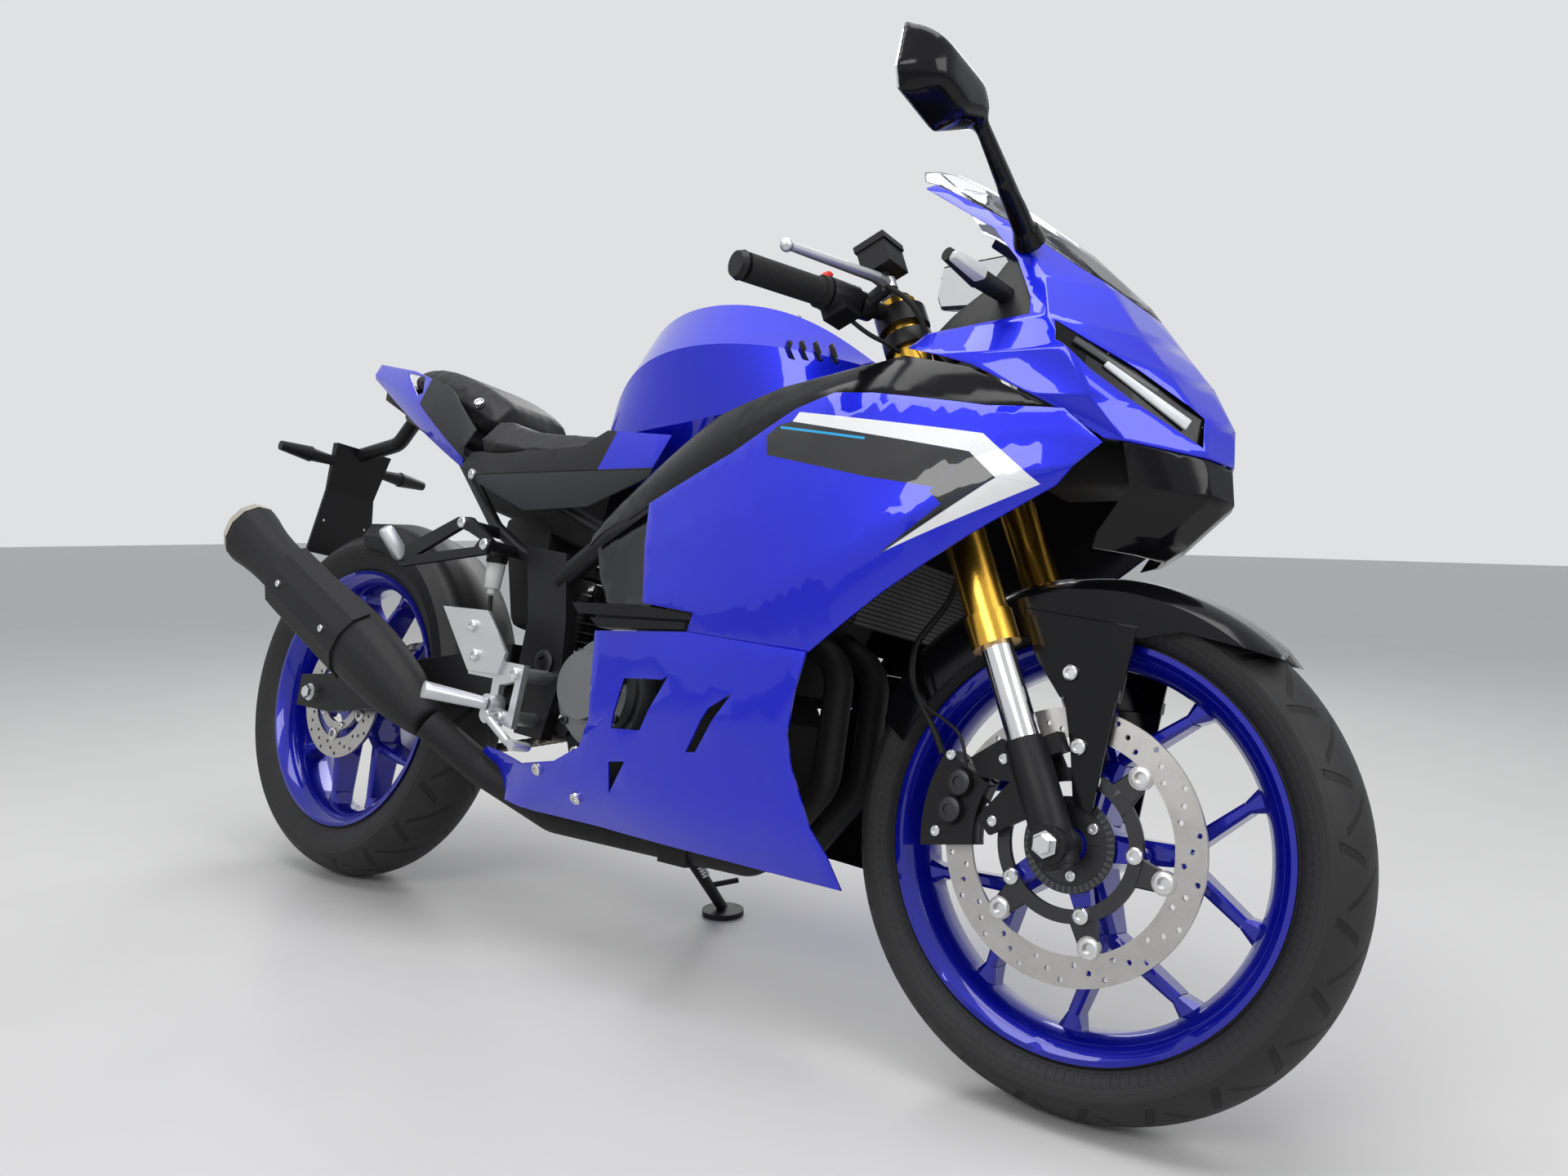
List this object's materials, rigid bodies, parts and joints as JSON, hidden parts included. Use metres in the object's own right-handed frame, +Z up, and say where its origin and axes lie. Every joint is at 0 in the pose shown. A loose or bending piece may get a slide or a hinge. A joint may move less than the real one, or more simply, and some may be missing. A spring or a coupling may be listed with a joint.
{
  "type": "sport bike",
  "caption": "Faired sport motorcycle leaning on its side stand, with turning wheels, steering, folding stand and hinged fuel cap.",
  "frame": {"origin": "on the ground under the middle of the bounding box, with the bike leaning to its left on the side stand", "axes": "+X forward along the bike, +Y to the rider's left, +Z up from the ground"},
  "size_m": [1.9869, 0.7422, 1.147],
  "materials": {
    "aluminium": "satin",
    "black_gloss": "gloss",
    "black_satin": "satin",
    "blue_paint": "gloss",
    "chrome": "polished",
    "engine_grey": "satin",
    "frame_black": "satin",
    "gold": "satin",
    "lamp_amber": "gloss",
    "lamp_clear": "gloss",
    "lamp_red": "gloss",
    "mirror_silver": "polished",
    "muffler_black": "matte",
    "rubber": "matte",
    "seat_vinyl": "matte",
    "smoke_screen": "gloss",
    "steel": "brushed",
    "tyre": "matte"
  },
  "bodies": {
    "chassis": {"frame": "frame_black", "swingarm": "frame_black", "rear_axle": "steel", "rear_shock": "steel", "chain": "steel", "engine": "engine_grey", "engine_covers": "engine_grey", "exhaust": "steel", "muffler": "muffler_black", "muffler_cap": "aluminium", "muffler_guard": "muffler_black", "fuel_tank": "blue_paint", "cap_bezel": "aluminium", "rider_seat": "seat_vinyl", "pillion_seat": "seat_vinyl", "tail_cowl": "blue_paint", "plate_hanger": "black_satin", "tail_lamp": "lamp_red", "indicators": "lamp_amber", "side_covers": "black_satin", "side_fairings": "blue_paint", "lower_cowls": "blue_paint", "shoulder_trims": "black_gloss", "nose_cowl": "blue_paint", "headlamps": "lamp_clear", "windscreen": "smoke_screen", "inner_panels": "black_satin", "side_ducts": "black_gloss", "nose_duct": "black_gloss", "dash": "black_satin", "mirrors": "black_satin", "mirror_glass": "mirror_silver", "radiator": "frame_black", "rear_hugger": "black_satin", "rear_brake": "frame_black", "footrests": "aluminium", "pillion_footrests": "frame_black"},
    "fuel_lid": {"fuel_cap": "aluminium"},
    "stand": {"side_stand": "frame_black", "stand_spring": "steel"},
    "steering": {"triple_clamps": "frame_black", "fork_outers": "gold", "fork_tubes": "chrome", "fork_feet": "frame_black", "front_axle": "steel", "front_fender": "black_gloss", "handlebars": "frame_black", "grips": "rubber", "bar_controls": "black_satin", "levers": "aluminium", "front_caliper": "frame_black"},
    "front_wheel": {"front_tyre": "tyre", "front_rim": "blue_paint", "front_disc": "steel", "front_carrier": "frame_black"},
    "rear_wheel": {"rear_tyre": "tyre", "rear_rim": "blue_paint", "rear_disc": "steel", "rear_sprocket": "steel"}
  },
  "joints": [
    {"name": "steering", "type": "hinge", "parent": "chassis", "child": "steering", "pos_m": [0.6657, -0.09677, 0.27176], "axis": [-0.4226, 0.1962, 0.8848], "range_deg": [-33, 33]},
    {"name": "front_wheel_spin", "type": "hinge", "parent": "steering", "child": "front_wheel", "pos_m": [0.7005, -0.09325, 0.2876], "axis": [0, 0.9763, -0.2164], "continuous": true},
    {"name": "rear_wheel_spin", "type": "hinge", "parent": "chassis", "child": "rear_wheel", "pos_m": [-0.6795, -0.08861, 0.30852], "axis": [0, 0.9763, -0.2164], "continuous": true},
    {"name": "side_stand", "type": "hinge", "parent": "chassis", "child": "stand", "pos_m": [-0.0595, 0.01384, 0.17927], "axis": [0, 0.8868, 0.4621], "range_deg": [0, 98]},
    {"name": "fuel_cap", "type": "hinge", "parent": "chassis", "child": "fuel_lid", "pos_m": [0.1815, 0.05034, 0.93529], "axis": [0, 0.9763, -0.2164], "range_deg": [0, 90]}
  ]
}
